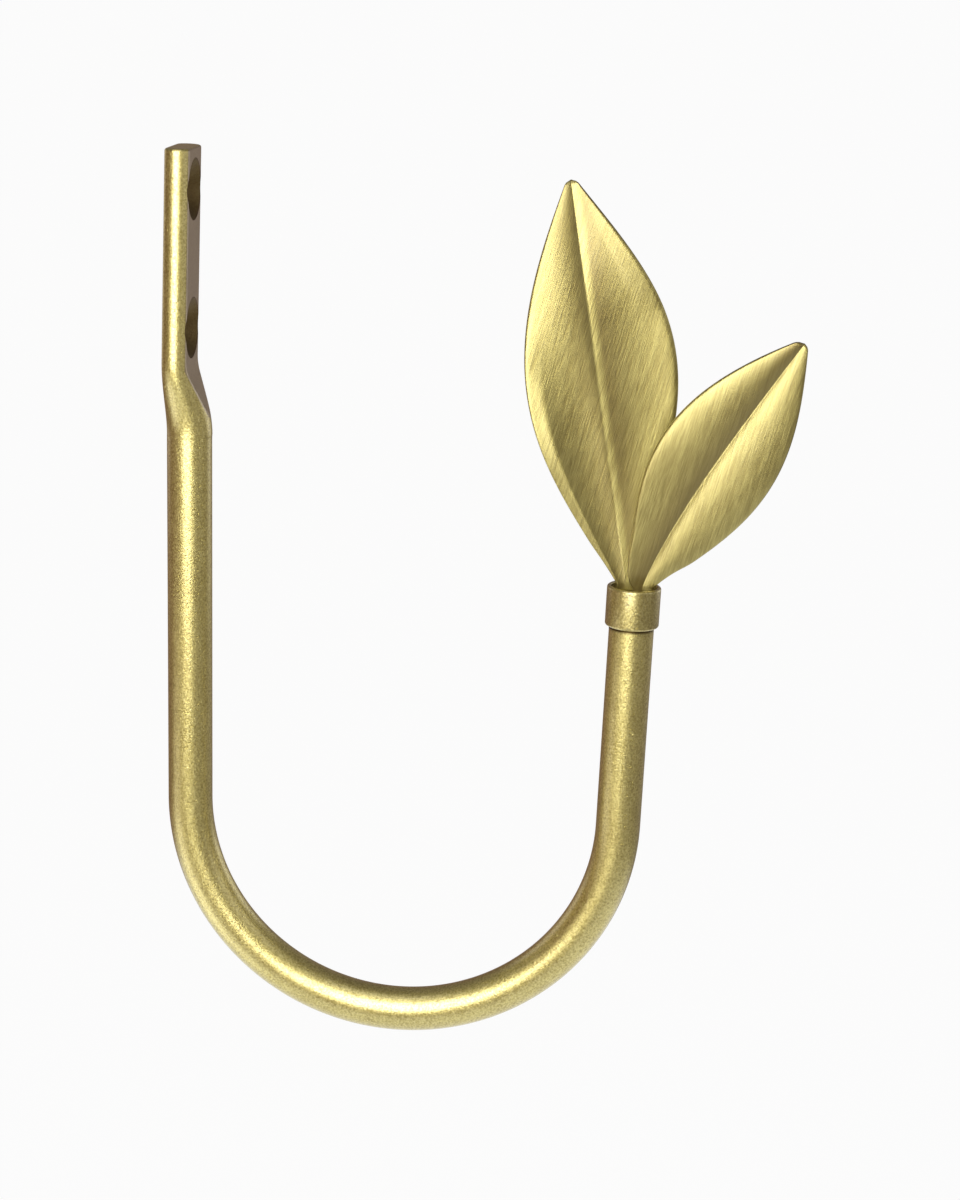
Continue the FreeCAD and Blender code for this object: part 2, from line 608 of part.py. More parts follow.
def make_leaf(leaf):
    """Press one leaf: a creased sheet as long as the leaf, trimmed to its outline down to the cup's floor."""
    size = {key: f"Sizes.{leaf.name}_{key}" for key in LEAF_KEYS}
    body = new_body(f"{leaf.name}_leaf")
    # An arc that rises over a chord leaves its end with a slope of four times rise over chord
    crease_slope = f"(4 * {size['lobe_rise']} / min({size['left_width']}; {size['right_width']}))"
    if leaf.side < 0:
        depth = f"(Sizes.stem_gap / 2 + Sizes.stem_width / 2 * {crease_slope})"
    else:
        depth = "(-Sizes.stem_gap / 2 - Sizes.leaf_thickness)"
    section = draw_leaf_section(body, leaf, size)
    turn = FreeCAD.Rotation(FreeCAD.Vector(1, 0, 0), value(size["tilt"]))
    section.AttachmentOffset = FreeCAD.Placement(FreeCAD.Vector(0, value(depth), 0), turn)
    section.setExpression("AttachmentOffset.Base.y", depth)
    section.setExpression("AttachmentOffset.Rotation.Angle", f"{size['tilt']} * 1deg")
    document.recompute()
    pressed = body.newObject("PartDesign::Pad", f"{leaf.name}_pressed_sheet")
    pressed.Profile = section
    pressed.SideType = "Two sides"
    pressed.setExpression("Length", f"{size['length']} + {OVERCUT}")
    pressed.setExpression("Length2", f"Sizes.cup_depth + {OVERCUT}")
    document.recompute()
    outline = draw_leaf_outline(body, leaf, size)
    document.recompute()
    cut_across(body, outline, size["length"])
    across = f"({leaf.side} * {STEM_OFFSET})"
    stand_on_arm(body, COLLAR_LENGTH, across, size["lean"])
    document.recompute()
    return body


def check(parts):
    """Stop if any object failed to rebuild or any part has no valid shape."""
    failed = [item.Label for item in document.Objects if {"Invalid", "Error"} & set(item.State)]
    failed += [part.Label for part in parts if part.Shape.isNull() or not part.Shape.isValid()]
    if failed:
        raise RuntimeError(f"failed to rebuild: {failed}")


def main():
    """Build the four parts, check them and write one file for each."""
    fill_sheet()
    parts = [make_hook_rod(), make_collar()] + [make_leaf(leaf) for leaf in LEAVES]
    document.recompute()
    check(parts)
    os.makedirs("parts", exist_ok=True)
    for part in parts:
        part.Shape.exportStep(f"parts/{part.Label}.step")
        print(part.Label, len(part.Shape.Solids), round(part.Shape.Volume, 1))


main()
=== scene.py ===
"""Curtain holdback: a satin gold hook with a collar and two pressed leaves, set up as a studio picture.

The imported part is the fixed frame. Every visible piece is a surface worked out as whole arrays, in the
frame of the part: X = 0 is the wall face, Y = 0 the plane of the hook and Z = 0 lies midway between the
screw holes. Sizes are written in millimetres and become metres where a mesh is made.
"""
import json
import logging
import math
from collections.abc import Mapping, Sequence
from dataclasses import dataclass, field
from enum import Enum
from typing import Any, ClassVar

import bpy
import numpy as np
from mathutils import Matrix, Vector

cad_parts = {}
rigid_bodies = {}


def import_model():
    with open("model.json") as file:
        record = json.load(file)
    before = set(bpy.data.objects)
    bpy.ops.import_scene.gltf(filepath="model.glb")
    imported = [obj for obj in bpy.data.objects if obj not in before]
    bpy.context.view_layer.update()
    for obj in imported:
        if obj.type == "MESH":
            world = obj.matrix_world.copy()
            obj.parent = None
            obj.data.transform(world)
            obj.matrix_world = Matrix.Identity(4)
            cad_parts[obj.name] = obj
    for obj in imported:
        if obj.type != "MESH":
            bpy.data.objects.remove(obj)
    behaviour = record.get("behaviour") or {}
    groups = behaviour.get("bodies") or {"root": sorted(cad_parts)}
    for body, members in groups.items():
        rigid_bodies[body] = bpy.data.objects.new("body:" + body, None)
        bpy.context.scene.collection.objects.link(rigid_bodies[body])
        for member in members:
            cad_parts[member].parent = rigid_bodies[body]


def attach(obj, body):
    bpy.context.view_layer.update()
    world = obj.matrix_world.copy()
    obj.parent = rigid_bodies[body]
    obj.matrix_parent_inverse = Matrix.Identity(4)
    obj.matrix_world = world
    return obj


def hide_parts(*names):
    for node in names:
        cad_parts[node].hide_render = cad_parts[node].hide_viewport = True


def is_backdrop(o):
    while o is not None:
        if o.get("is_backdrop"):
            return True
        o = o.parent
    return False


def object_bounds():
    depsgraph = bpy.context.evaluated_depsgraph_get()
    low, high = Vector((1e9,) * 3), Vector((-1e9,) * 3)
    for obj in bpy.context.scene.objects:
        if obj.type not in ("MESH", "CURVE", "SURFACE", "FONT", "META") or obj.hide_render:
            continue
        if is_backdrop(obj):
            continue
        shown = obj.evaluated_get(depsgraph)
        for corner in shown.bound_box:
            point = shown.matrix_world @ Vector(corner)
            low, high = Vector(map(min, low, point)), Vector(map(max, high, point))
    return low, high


LOG = logging.getLogger("holdback")
MM = 0.001
WHITE = (1.0, 1.0, 1.0, 1.0)
DEPTHWISE = np.array((0.0, 1.0, 0.0))
Array = np.ndarray
Pair = tuple[float, float]
Triple = tuple[float, float, float]


class Slot(Enum):
    """The record's material slots."""

    SATIN = "satin_gold"
    BRUSHED = "brushed_gold"


class Side(Enum):
    """The side of the collar's cup that a leaf's stem stands on."""

    LEFT = -1
    RIGHT = 1


def smooth_step(value: Array) -> Array:
    """Return 3t^2 - 2t^3 of a value t held between 0 and 1."""
    held = np.clip(value, 0.0, 1.0)
    return held * held * (3.0 - 2.0 * held)


def soft_min(first: Array, second: Array, round_over: float) -> Array:
    """Return the smaller of two arrays with a corner rounded over a width k where they cross.

    With h = 1/2 + (second - first) / (2 k) held between 0 and 1, the result is
    h first + (1 - h) second - k h (1 - h).
    """
    share = np.clip(0.5 + 0.5 * (second - first) / round_over, 0.0, 1.0)
    return share * first + (1.0 - share) * second - round_over * share * (1.0 - share)


def soft_max(first: Array, second: Array, round_over: float) -> Array:
    """Return the larger of two arrays, with its corner rounded in the same way."""
    return -soft_min(-first, -second, round_over)


def full_turn(count: int) -> Array:
    """Return evenly spaced angles once round a circle, as a row."""
    return np.linspace(0.0, 2.0 * math.pi, count, endpoint=False)[None, :]


def ring_quads(index: Array) -> Array:
    """Return the quads that join neighbouring rings of point numbers, each ring a row."""
    ahead = np.roll(index, -1, axis=1)
    return np.stack((index[:-1], ahead[:-1], ahead[1:], index[1:]), axis=-1).reshape(-1, 4)


def link(name: str, data: bpy.types.ID) -> bpy.types.Object:
    """Return a new object, linked to the scene.

    Args:
        name: The name of the object.
        data: Its mesh, lamp or camera.

    Returns:
        The object.
    """
    thing = bpy.data.objects.new(name, data)
    bpy.context.scene.collection.objects.link(thing)
    return thing


class TubeMesh:
    """A closed mesh from rows of rings: neighbouring rings are joined by quads and both ends by fans."""

    def __init__(self, name: str, rings: Array) -> None:
        """Keep the object's name and its rings in millimetres, shaped (rings, points of a ring, 3)."""
        self.name = name
        self.rings = rings

    def _faces(self) -> tuple[Array, Array]:
        """Number the faces.

        Returns:
            The quads of the wall and the triangles of the two end fans.
        """
        count, around = self.rings.shape[:2]
        index = np.arange(count * around).reshape(count, around)
        ahead = np.roll(index, -1, axis=1)
        first, last = count * around, count * around + 1
        start = np.stack((ahead[0], index[0], np.full(around, first)), axis=-1)
        end = np.stack((index[-1], ahead[-1], np.full(around, last)), axis=-1)
        return ring_quads(index), np.concatenate((start, end))

    def build(self) -> bpy.types.Object:
        """Make the mesh, with its faces pointing outwards.

        Returns:
            The object, linked to the scene.
        """
        centres = np.stack((self.rings[0].mean(axis=0), self.rings[-1].mean(axis=0)))
        points = np.concatenate((self.rings.reshape(-1, 3), centres)) * MM
        quads, fans = self._faces()
        mesh = bpy.data.meshes.new(self.name)
        mesh.from_pydata(points.tolist(), [], quads.tolist() + fans.tolist())
        if self._signed_volume(points, quads, fans) < 0.0:
            mesh.flip_normals()
        mesh.polygons.foreach_set("use_smooth", np.ones(len(mesh.polygons), dtype=bool))
        mesh.update()
        return link(self.name, mesh)

    @staticmethod
    def _signed_volume(points: Array, quads: Array, fans: Array) -> float:
        """Add up the volumes a . (b x c) / 6 of the tetrahedra under the triangles.

        Args:
            points: The points of the mesh.
            quads: Its quads.
            fans: Its triangles.

        Returns:
            The volume inside the faces, negative where they point inwards.
        """
        triangles = np.concatenate((quads[:, [0, 1, 2]], quads[:, [0, 2, 3]], fans))
        a, b, c = (points[triangles[:, corner]] for corner in range(3))
        return float(np.einsum("ij,ij->i", a, np.cross(b, c)).sum() / 6.0)


@dataclass(frozen=True)
class HookSizes:
    """The driving sizes of the rod and of what stands on its front arm, in millimetres and degrees."""

    rod_diameter: float = 8.0
    hook_height: float = 158.75
    bend_radius: float = 38.9
    back_arm_lean: float = 1.1
    set_radius: float = 80.0
    arm_spread: float = 1.7
    front_arm_length: float = 36.9
    wall_gap: float = 0.2
    pad_thickness: float = 4.4
    pad_flat_width: float = 10.2
    pad_side_bulge: float = 1.2
    pad_edge_round: float = 0.5
    screw_spacing: float = 24.0
    screw_to_top: float = 7.2
    screw_to_shoulder: float = 5.4
    shoulder_radius: float = 8.0
    ramp_angle: float = 22.5
    neck_length: float = 13.5
    screw_hole_diameter: float = 5.8
    countersink_diameter: float = 10.7
    socket_depth: float = 4.6
    socket_clearance: float = 0.05
    collar_wall: float = 0.7
    collar_web: float = 1.4
    cup_depth: float = 1.2
    stem_width: float = 3.8
    stem_inset: float = 0.6

    @property
    def rod_radius(self) -> float:
        """Half the rod's diameter."""
        return self.rod_diameter / 2

    @property
    def axis_x(self) -> float:
        """Distance of the back arm's axis from the wall, at the neck."""
        return self.wall_gap + self.rod_radius

    @property
    def top(self) -> float:
        """Height of the pad's upper end."""
        return self.screw_spacing / 2 + self.screw_to_top

    @property
    def shoulder(self) -> float:
        """Height at which the pad's flat front ends."""
        return -self.screw_spacing / 2 - self.screw_to_shoulder

    @property
    def neck(self) -> float:
        """Height at which the rod is round again."""
        return self.shoulder - self.neck_length

    @property
    def pad_half_width(self) -> float:
        """Half the pad's width over its bulging sides."""
        return self.pad_flat_width / 2 + self.pad_side_bulge

    @property
    def back_lean(self) -> float:
        """The back arm's lean from the wall, in radians."""
        return math.radians(self.back_arm_lean)

    @property
    def front_lean(self) -> float:
        """The front arm's lean from the wall's direction, in radians."""
        return math.radians(self.arm_spread - self.back_arm_lean)

    @property
    def bend_centre(self) -> Pair:
        """The centre of the bend, as (x, z)."""
        z = self.top - self.hook_height + self.bend_radius + self.rod_radius
        drop = self.neck - z + (self.bend_radius - self.set_radius) * math.sin(self.back_lean)
        x = (self.axis_x + self.set_radius * (1 - math.cos(self.back_lean))
             + drop * math.tan(self.back_lean) + self.bend_radius * math.cos(self.back_lean))
        return x, z

    @property
    def arm_up(self) -> Array:
        """The direction in which the front arm stands up."""
        return np.array((math.sin(self.front_lean), 0.0, math.cos(self.front_lean)))

    @property
    def arm_across(self) -> Array:
        """The direction across the front arm, in the plane of the hook."""
        return np.array((math.cos(self.front_lean), 0.0, -math.sin(self.front_lean)))

    @property
    def collar_foot(self) -> Array:
        """The centre of the collar's lower end."""
        x, z = self.bend_centre
        return (np.array((x, 0.0, z)) + self.bend_radius * self.arm_across
                + self.front_arm_length * self.arm_up)

    @property
    def collar_length(self) -> float:
        """The collar's length along the arm."""
        return self.socket_depth + self.collar_web + self.cup_depth

    @property
    def bore_radius(self) -> float:
        """The radius of the collar's socket and cup."""
        return self.rod_radius + self.socket_clearance

    @property
    def stem_offset(self) -> float:
        """How far each stem stands from the arm's axis."""
        return self.bore_radius - self.stem_inset - self.stem_width / 2


class Wire:
    """An output of a shader, with arithmetic that adds Math nodes."""

    def __init__(self, sheet: "ShaderSheet", socket: bpy.types.NodeSocket) -> None:
        """Wrap an output socket of a node sheet."""
        self.sheet = sheet
        self.socket = socket

    def __add__(self, other: "Wire | float") -> "Wire":
        """Return the sum."""
        return self.sheet.math("ADD", self, other)

    def __radd__(self, other: float) -> "Wire":
        """Return the sum."""
        return self.sheet.math("ADD", other, self)

    def __sub__(self, other: "Wire | float") -> "Wire":
        """Return the difference."""
        return self.sheet.math("SUBTRACT", self, other)

    def __rsub__(self, other: float) -> "Wire":
        """Return the difference from a number."""
        return self.sheet.math("SUBTRACT", other, self)

    def __mul__(self, other: "Wire | float") -> "Wire":
        """Return the product."""
        return self.sheet.math("MULTIPLY", self, other)

    def __rmul__(self, other: float) -> "Wire":
        """Return the product."""
        return self.sheet.math("MULTIPLY", other, self)

    def __pow__(self, other: "Wire | float") -> "Wire":
        """Return the power."""
        return self.sheet.math("POWER", self, other)


class ShaderSheet:
    """The nodes of one material or of the world."""

    def __init__(self, tree: bpy.types.NodeTree) -> None:
        """Empty the node tree that is to be filled."""
        self.tree = tree
        tree.nodes.clear()

    def node(self, kind: str, settings: Mapping[str, Any] | None = None,
             inputs: Mapping[str | int, Any] | None = None) -> bpy.types.Node:
        """Add a node.

        Args:
            kind: The node's type.
            settings: Its properties.
            inputs: Values, or wires to link, by the input's name or number.

        Returns:
            The node.
        """
        made = self.tree.nodes.new(kind)
        for name, setting in (settings or {}).items():
            setattr(made, name, setting)
        for name, value in (inputs or {}).items():
            if isinstance(value, Wire):
                self.tree.links.new(value.socket, made.inputs[name])
            else:
                made.inputs[name].default_value = value
        return made

    def out(self, made: bpy.types.Node, name: str | int = 0) -> Wire:
        """Return one output of a node as a wire."""
        return Wire(self, made.outputs[name])

    def math(self, operation: str, first: "Wire | float", second: "Wire | float") -> Wire:
        """Return a Math node's result."""
        return self.out(self.node("ShaderNodeMath", {"operation": operation}, {0: first, 1: second}))

    def blend(self, weights: Sequence[float], wires: Sequence[Wire]) -> Wire:
        """Return the sum of the wires, each times its weight."""
        first, *rest = (weight * wire for weight, wire in zip(weights, wires))
        return sum(rest, first)

    def mix(self, share: Wire, first: "Wire | Triple", second: Triple) -> Wire:
        """Return a colour mixed with a fixed one by a share."""
        inputs = {0: share, 6: first if isinstance(first, Wire) else (*first, 1.0), 7: (*second, 1.0)}
        return self.out(self.node("ShaderNodeMix", {"data_type": "RGBA"}, inputs), 2)

    def ramp(self, share: Wire, low: float, high: float) -> Wire:
        """Return a value's place between two levels, held between 0 and 1."""
        inputs = {"Value": share, "From Min": low, "From Max": high}
        return self.out(self.node("ShaderNodeMapRange", {"clamp": True}, inputs))

    def place(self, scale: Triple, turn: Triple = (0.0, 0.0, 0.0)) -> Wire:
        """Return object coordinates, turned and then stretched.

        Args:
            scale: How many pattern units go on a metre, along each axis.
            turn: The turn about each axis, in degrees.

        Returns:
            The coordinates.
        """
        where = self.out(self.node("ShaderNodeTexCoord"), "Object")
        turned = self.node("ShaderNodeMapping", {"vector_type": "POINT"},
                           {"Vector": where, "Rotation": [math.radians(angle) for angle in turn]})
        stretched = self.node("ShaderNodeVectorMath", {"operation": "MULTIPLY"},
                              {0: self.out(turned), 1: list(scale)})
        return self.out(stretched)

    def noise(self, vector: Wire, detail: float, roughness: float = 0.5) -> Wire:
        """Return fractal noise of about 0 to 1 at a scale of one."""
        inputs = {"Vector": vector, "Scale": 1.0, "Detail": detail, "Roughness": roughness}
        return self.out(self.node("ShaderNodeTexNoise", None, inputs), 0)

    def bump(self, height: Wire, strength: float, distance: float) -> Wire:
        """Return the normal of a surface on which a height of one stands for a distance in metres."""
        inputs = {"Height": height, "Strength": strength, "Distance": distance}
        return self.out(self.node("ShaderNodeBump", None, inputs))

    def finish(self, shader: bpy.types.Node, output: str = "ShaderNodeOutputMaterial") -> None:
        """Send a shader to the sheet's output."""
        self.node(output, None, {"Surface": self.out(shader)})


def new_material(name: str) -> tuple[bpy.types.Material, ShaderSheet]:
    """Start a material.

    Args:
        name: The name of the material.

    Returns:
        The material and its empty node sheet.
    """
    material = bpy.data.materials.new(name)
    material.use_nodes = True
    return material, ShaderSheet(material.node_tree)


@dataclass(frozen=True)
class SatinGold:
    """Gold lacquer on bent and turned steel: satin, with a fine mottle and pits, and painted shade on the
    flat end's front, in the screw holes and just below the collar.

    Levels are the two noise values between which a tone sets in, and scales count waves on a metre. Slack,
    reach and gap are in millimetres.
    """

    name: str = "satin_gold_lacquer"
    pale: Triple = (0.69, 0.6, 0.21)
    deep: Triple = (0.47, 0.385, 0.105)
    fleck: Triple = (0.9, 0.83, 0.42)
    speck: Triple = (0.26, 0.195, 0.05)
    face_shade: Triple = (0.36, 0.275, 0.195)
    hole_shade: Triple = (0.1, 0.06, 0.027)
    shade: Triple = (0.07, 0.045, 0.015)
    mottle_scale: Triple = (2300.0, 2300.0, 2300.0)
    grain_scale: Triple = (2900.0, 2900.0, 2900.0)
    cloud_scale: Triple = (380.0, 380.0, 260.0)
    tone_weights: Triple = (0.5, 0.35, 0.15)
    tone_levels: Pair = (0.40, 0.58)
    fleck_share: float = 0.16
    fleck_levels: Pair = (0.58, 0.66)
    speck_share: float = 0.24
    speck_levels: Pair = (0.41, 0.33)
    pit_levels: Pair = (0.30, 0.38)
    face_shade_share: float = 0.8
    hole_shade_share: float = 0.95
    roughness: float = 0.375
    roughness_weights: Triple = (0.16, 0.08, 0.15)
    height_weights: Triple = (0.7, 0.2, 0.5)
    bump_strength: float = 0.6
    bump_height: float = 0.00014
    coat_roughness: float = 0.27
    coat_ior: float = 1.7
    face_slack: Pair = (0.22, 0.1)
    shade_reach: Pair = (0.8, 0.3)
    shade_gap: float = 0.03
    bore_slack: float = 0.05
    cone_slack: float = 0.02
    cone_share: float = 0.95
    sizes: HookSizes = field(default_factory=HookSizes)

    def _flat_face(self, sheet: ShaderSheet, across: Wire, up: Wire) -> Wire:
        """Find the forged front of the flat end and its ramp, which get painted shade.

        Args:
            sheet: The node sheet.
            across: The distance from the wall.
            up: The height.

        Returns:
            1 on that front and 0 elsewhere.
        """
        size = self.sizes
        ramp = math.radians(size.ramp_angle)
        turn = size.shoulder - size.shoulder_radius * math.tan(ramp / 2)
        below = sheet.math("MAXIMUM", turn * MM - up, 0.0)
        behind = across - below * math.tan(ramp) - size.pad_thickness * MM
        front = sheet.ramp(behind, -self.face_slack[0] * MM, -self.face_slack[1] * MM)
        return front * sheet.math("GREATER_THAN", up, size.neck * MM)

    def _collar_shade(self, sheet: ShaderSheet, across: Wire, up: Wire) -> Wire:
        """Find the dark line on the rod just below the collar.

        Args:
            sheet: The node sheet.
            across: The distance from the wall.
            up: The height.

        Returns:
            How dark it is there, and 0 elsewhere.
        """
        foot = self.sizes.collar_foot
        near = sheet.ramp(up, *((foot[2] - reach) * MM for reach in self.shade_reach))
        below = sheet.math("LESS_THAN", up, (foot[2] - self.shade_gap) * MM)
        return near * below * sheet.math("GREATER_THAN", across, foot[0] / 2 * MM)

    def _holes(self, sheet: ShaderSheet, across: Wire, along: Wire, up: Wire) -> Wire:
        """Find the screw holes, which get painted shade.

        Args:
            sheet: The node sheet.
            across: The distance from the wall.
            along: The distance along the wall.
            up: The height.

        Returns:
            1 in the bores, a little less on the cones and 0 elsewhere.
        """
        size = self.sizes
        from_middle = sheet.math("ABSOLUTE", up, 0.0) - size.screw_spacing / 2 * MM
        reach = (along * along + from_middle * from_middle) ** 0.5
        bore, cone = size.screw_hole_diameter / 2, size.countersink_diameter / 2
        cone_foot = size.pad_thickness - cone + bore - self.bore_slack
        in_bore = sheet.math("LESS_THAN", reach, (bore + self.bore_slack) * MM)
        in_cone = (sheet.math("LESS_THAN", reach, (cone + self.cone_slack) * MM)
                   * sheet.math("GREATER_THAN", across, cone_foot * MM))
        return sheet.math("MAXIMUM", in_bore, self.cone_share * in_cone)

    def material(self) -> bpy.types.Material:
        """Mix the lacquer: tone, roughness and height are weighted sums of mottle, grain, cloud and pits.

        Returns:
            The finish as a material.
        """
        material, sheet = new_material(self.name)
        mottle = sheet.noise(sheet.place(self.mottle_scale), detail=3.0, roughness=0.62)
        cloud = sheet.noise(sheet.place(self.cloud_scale), detail=2.0)
        grain = sheet.noise(sheet.place(self.grain_scale), detail=1.0)
        pits = sheet.ramp(mottle, *self.pit_levels)
        where = sheet.node("ShaderNodeSeparateXYZ", None, {0: sheet.place((1.0, 1.0, 1.0))})
        across, along, up = (sheet.out(where, axis) for axis in "XYZ")
        holes = self._holes(sheet, across, along, up)
        shade = self._collar_shade(sheet, across, up)
        tone = sheet.ramp(sheet.blend(self.tone_weights, (mottle, grain, cloud)), *self.tone_levels)
        colour = sheet.mix(tone, self.deep, self.pale)
        for share, tint in (
            (self.fleck_share * sheet.ramp(grain, *self.fleck_levels), self.fleck),
            (self.speck_share * sheet.ramp(grain, *self.speck_levels), self.speck),
            # painted shade on the flat end's front
            (self.face_shade_share * self._flat_face(sheet, across, up), self.face_shade),
            (shade, self.shade),
            # painted shade in the screw holes
            (self.hole_shade_share * holes, self.hole_shade),
        ):
            colour = sheet.mix(share, colour, tint)
        height = sheet.blend(self.height_weights, (mottle, grain, pits))
        rough = self.roughness + sheet.blend(self.roughness_weights, (mottle - 0.5, 1.0 - pits, holes))
        shader = sheet.node("ShaderNodeBsdfPrincipled", None, {
            "Base Color": colour,
            "Metallic": 1.0,
            "Roughness": rough,
            "Coat Weight": (1.0 - holes) * (1.0 - shade),
            "Coat Roughness": self.coat_roughness,
            "Coat IOR": self.coat_ior,
            "Normal": sheet.bump(height, self.bump_strength, self.bump_height),
        })
        sheet.finish(shader)
        return material


@dataclass(frozen=True)
class BrushedGold:
    """Gold lacquer on pressed sheet that was brushed: fine strokes run up it, and painted shade darkens it
    beside the crease.

    Levels are the two noise values between which the tone sets in, and scales count waves on a metre.
    """

    name: str = "brushed_gold_lacquer"
    pale: Triple = (0.45, 0.385, 0.12)
    deep: Triple = (0.3, 0.245, 0.062)
    crease_shade_tint: Triple = (0.2, 0.145, 0.035)
    stroke_lean: float = 14.0
    fine_scale: Triple = (4600.0, 900.0, 190.0)
    broad_scale: Triple = (1500.0, 400.0, 110.0)
    cloud_scale: Triple = (160.0, 160.0, 90.0)
    stroke_weights: Pair = (0.72, 0.28)
    tone_weights: Pair = (0.8, 0.2)
    tone_levels: Pair = (0.42, 0.58)
    roughness: float = 0.4
    stroke_roughness: float = 0.22
    bump_strength: float = 0.5
    bump_height: float = 0.00012
    coat_weight: float = 0.8
    coat_roughness: float = 0.34
    coat_ior: float = 1.6

    def material(self) -> bpy.types.Material:
        """Mix the lacquer: strokes are fine and broad noise, drawn out along the leaves.

        Returns:
            The finish as a material.
        """
        material, sheet = new_material(self.name)
        turn = (0.0, -self.stroke_lean, 0.0)
        fine = sheet.noise(sheet.place(self.fine_scale, turn), detail=3.0, roughness=0.7)
        broad = sheet.noise(sheet.place(self.broad_scale, turn), detail=2.0)
        cloud = sheet.noise(sheet.place(self.cloud_scale, turn), detail=2.0)
        strokes = sheet.blend(self.stroke_weights, (fine, broad))
        tone = sheet.ramp(sheet.blend(self.tone_weights, (strokes, cloud)), *self.tone_levels)
        crease_shade = sheet.out(sheet.node("ShaderNodeAttribute", {"attribute_name": Leaf.CREASE_SHADE}), "Fac")
        shader = sheet.node("ShaderNodeBsdfPrincipled", None, {
            # painted shade beside the crease, read from the leaf's point attribute
            "Base Color": sheet.mix(crease_shade, sheet.mix(tone, self.deep, self.pale), self.crease_shade_tint),
            "Metallic": 1.0,
            "Roughness": self.roughness + self.stroke_roughness * (strokes - 0.5),
            "Coat Weight": self.coat_weight,
            "Coat Roughness": self.coat_roughness,
            "Coat IOR": self.coat_ior,
            "Normal": sheet.bump(strokes, self.bump_strength, self.bump_height),
        })
        sheet.finish(shader)
        return material


class Piece:
    """What every visible piece of the holdback does once its mesh is made."""

    @staticmethod
    def dress(piece: bpy.types.Object, material: bpy.types.Material, node: str, slot: Slot) -> None:
        """Give a piece its finish and let it stand for a node of the frame.

        Args:
            piece: The finished object.
            material: Its finish.
            node: The node that it replaces.
            slot: The record's material slot; not used.
        """
        piece.data.materials.clear()
        piece.data.materials.append(material)
        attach(piece, "root")
        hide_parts(node)
        LOG.info("%s: %d faces", piece.name, len(piece.data.polygons))


